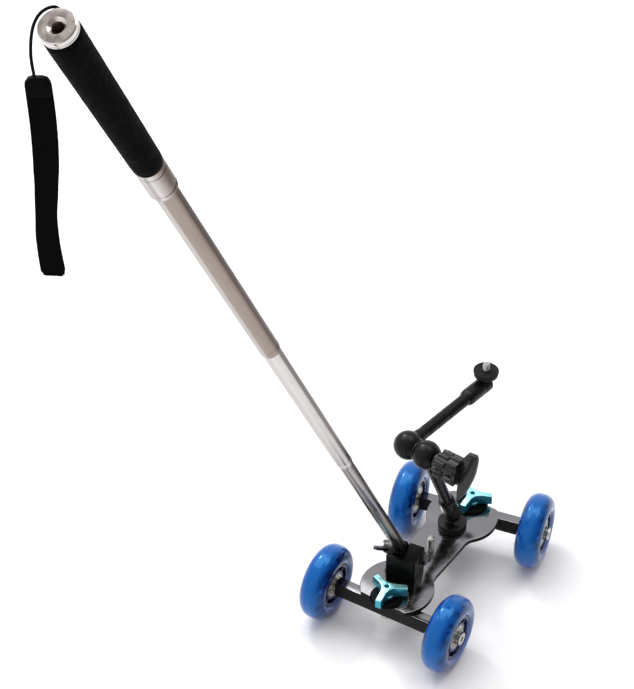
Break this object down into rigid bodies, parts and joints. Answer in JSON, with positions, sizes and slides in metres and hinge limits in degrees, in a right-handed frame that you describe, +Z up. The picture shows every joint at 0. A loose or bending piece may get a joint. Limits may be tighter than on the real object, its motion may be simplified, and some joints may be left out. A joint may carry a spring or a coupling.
{
  "type": "camera slider dolly",
  "caption": "Table-top camera dolly: waisted deck on steerable axle beams with urethane wheels, jointed camera arm and telescopic push pole with a foam grip and wrist strap.",
  "frame": {"origin": "axis of the centre stud at the deck's top face", "axes": "+Z up along the centre stud; +Y along the deck from the push pole towards the camera arm; +X to the right"},
  "size_m": [0.1601, 0.6363, 0.8425],
  "materials": {
    "deck_black": "gloss",
    "black_alloy": "satin",
    "satin_black": "satin",
    "bright_steel": "satin",
    "dark_steel": "satin",
    "bearing_steel": "gloss",
    "polished_tube": "gloss",
    "chrome": "gloss",
    "teal_anodised": "satin",
    "blue_urethane": "gloss",
    "core_plastic": "gloss",
    "black_plastic": "satin",
    "knob_plastic": "satin",
    "black_rubber": "matte",
    "black_foam": "matte",
    "black_webbing": "matte"
  },
  "bodies": {
    "deck": {"base_plate": "deck_black", "centre_stud": "bright_steel", "front_washer": "black_plastic", "rear_washer": "black_plastic"},
    "front_axle": {"front_axle_beam": "black_alloy", "front_pivot_bolt": "bright_steel", "front_left_axle_bolt": "bright_steel", "front_left_spacer": "bright_steel", "front_right_axle_bolt": "bright_steel", "front_right_spacer": "bright_steel"},
    "front_knob": {"front_lock_knob": "teal_anodised"},
    "front_left_wheel": {"front_left_tyre": "blue_urethane", "front_left_core": "core_plastic", "front_left_bearing_outer": "bearing_steel", "front_left_bearing_inner": "bearing_steel"},
    "front_right_wheel": {"front_right_tyre": "blue_urethane", "front_right_core": "core_plastic", "front_right_bearing_outer": "bearing_steel", "front_right_bearing_inner": "bearing_steel"},
    "rear_axle": {"rear_axle_beam": "black_alloy", "rear_pivot_bolt": "bright_steel", "rear_left_axle_bolt": "bright_steel", "rear_left_spacer": "bright_steel", "rear_right_axle_bolt": "bright_steel", "rear_right_spacer": "bright_steel"},
    "rear_knob": {"rear_lock_knob": "teal_anodised"},
    "rear_left_wheel": {"rear_left_tyre": "blue_urethane", "rear_left_core": "core_plastic", "rear_left_bearing_outer": "bearing_steel", "rear_left_bearing_inner": "bearing_steel"},
    "rear_right_wheel": {"rear_right_tyre": "blue_urethane", "rear_right_core": "core_plastic", "rear_right_bearing_outer": "bearing_steel", "rear_right_bearing_inner": "bearing_steel"},
    "bracket": {"bracket_block": "black_alloy", "bracket_screw": "bright_steel", "hinge_bolt": "dark_steel"},
    "wing": {"wing_nut": "dark_steel"},
    "pole_low": {"pole_socket": "black_alloy", "pole_tube_1": "polished_tube"},
    "pole_2": {"pole_tube_2": "polished_tube"},
    "pole_3": {"pole_tube_3": "polished_tube"},
    "grip": {"pole_tube_4": "polished_tube", "grip_ferrule": "chrome", "foam_grip": "black_foam", "end_cap": "chrome", "strap_cord": "black_webbing", "strap_band": "black_webbing"},
    "arm_foot": {"arm_foot_stud": "dark_steel"},
    "foot_disc": {"arm_foot_disc": "black_plastic"},
    "lower_link": {"lower_arm": "satin_black", "lower_push_rod": "dark_steel", "elbow_washer": "black_plastic"},
    "upper_link": {"upper_arm": "satin_black", "upper_push_rod": "dark_steel", "elbow_bolt": "dark_steel"},
    "clamp_knob": {"elbow_knob": "knob_plastic"},
    "camera_ball": {"camera_stud": "bright_steel"},
    "camera_seat": {"camera_disc": "black_plastic", "camera_pad": "black_rubber"}
  },
  "joints": [
    {"name": "front_steer", "type": "hinge", "parent": "deck", "child": "front_axle", "pos_m": [0, -0.072, -0.012], "axis": [0, 0, 1], "range_deg": [-29, 20]},
    {"name": "front_knob_turn", "type": "hinge", "parent": "front_axle", "child": "front_knob", "pos_m": [0, -0.072, 0.009], "axis": [0, 0, 1], "range_deg": [-15, 15]},
    {"name": "front_left_spin", "type": "hinge", "parent": "front_axle", "child": "front_left_wheel", "pos_m": [-0.06109, -0.07649, -0.012], "axis": [-0.9973, -0.0732, 0], "continuous": true},
    {"name": "front_right_spin", "type": "hinge", "parent": "front_axle", "child": "front_right_wheel", "pos_m": [0.06109, -0.06751, -0.012], "axis": [0.9973, 0.0732, 0], "continuous": true},
    {"name": "rear_steer", "type": "hinge", "parent": "deck", "child": "rear_axle", "pos_m": [0, 0.072, -0.012], "axis": [0, 0, 1], "range_deg": [-38, 11]},
    {"name": "rear_knob_turn", "type": "hinge", "parent": "rear_axle", "child": "rear_knob", "pos_m": [0, 0.072, 0.009], "axis": [0, 0, 1], "range_deg": [-15, 15]},
    {"name": "rear_left_spin", "type": "hinge", "parent": "rear_axle", "child": "rear_left_wheel", "pos_m": [-0.05956, 0.0577, -0.012], "axis": [-0.9724, -0.2334, 0], "continuous": true},
    {"name": "rear_right_spin", "type": "hinge", "parent": "rear_axle", "child": "rear_right_wheel", "pos_m": [0.05956, 0.0863, -0.012], "axis": [0.9724, 0.2334, 0], "continuous": true},
    {"name": "bracket_swivel", "type": "hinge", "parent": "deck", "child": "bracket", "pos_m": [0, -0.042, 0], "axis": [0, 0, 1], "range_deg": [-12, 12]},
    {"name": "wing_nut_turn", "type": "hinge", "parent": "bracket", "child": "wing", "pos_m": [-0.00667, -0.03514, 0.022], "axis": [0.9852, 0.1714, 0], "range_deg": [-180, 180]},
    {"name": "pole_tilt", "type": "hinge", "parent": "bracket", "child": "pole_low", "pos_m": [-0.00667, -0.03514, 0.022], "axis": [0.9852, 0.1714, 0], "range_deg": [-30, 3]},
    {"name": "pole_slide_1", "type": "slide", "parent": "pole_low", "child": "pole_2", "axis": [0.0889, -0.5107, 0.8551], "range_m": [-0.19, 0]},
    {"name": "pole_slide_2", "type": "slide", "parent": "pole_2", "child": "pole_3", "axis": [0.0889, -0.5107, 0.8551], "range_m": [-0.19, 0]},
    {"name": "pole_slide_3", "type": "slide", "parent": "pole_3", "child": "grip", "axis": [0.0889, -0.5107, 0.8551], "range_m": [-0.11, 0]},
    {"name": "arm_swivel", "type": "hinge", "parent": "deck", "child": "arm_foot", "pos_m": [0, 0.037, 0.015], "axis": [0, 0, 1], "range_deg": [-100, 100]},
    {"name": "foot_disc_turn", "type": "hinge", "parent": "arm_foot", "child": "foot_disc", "pos_m": [0, 0.037, 0.0035], "axis": [0, 0, 1], "range_deg": [-180, 180]},
    {"name": "arm_tilt", "type": "hinge", "parent": "arm_foot", "child": "lower_link", "pos_m": [0, 0.037, 0.015], "axis": [0.9962, -0.0872, 0], "range_deg": [-30, 10]},
    {"name": "elbow", "type": "hinge", "parent": "lower_link", "child": "upper_link", "pos_m": [-0.02388, -0.00646, 0.11936], "axis": [0.9962, -0.0872, 0], "range_deg": [-15, 100]},
    {"name": "elbow_knob_turn", "type": "hinge", "parent": "lower_link", "child": "clamp_knob", "pos_m": [0.01796, -0.01012, 0.11936], "axis": [0.9962, -0.0872, 0], "range_deg": [-180, 180]},
    {"name": "camera_tilt", "type": "hinge", "parent": "upper_link", "child": "camera_ball", "pos_m": [-0.01397, 0.10684, 0.11559], "axis": [0.9962, -0.0872, 0], "range_deg": [-115, 0]},
    {"name": "camera_disc_turn", "type": "hinge", "parent": "camera_ball", "child": "camera_seat", "pos_m": [-0.01397, 0.10684, 0.12759], "axis": [0, 0, 1], "range_deg": [-180, 180]}
  ]
}
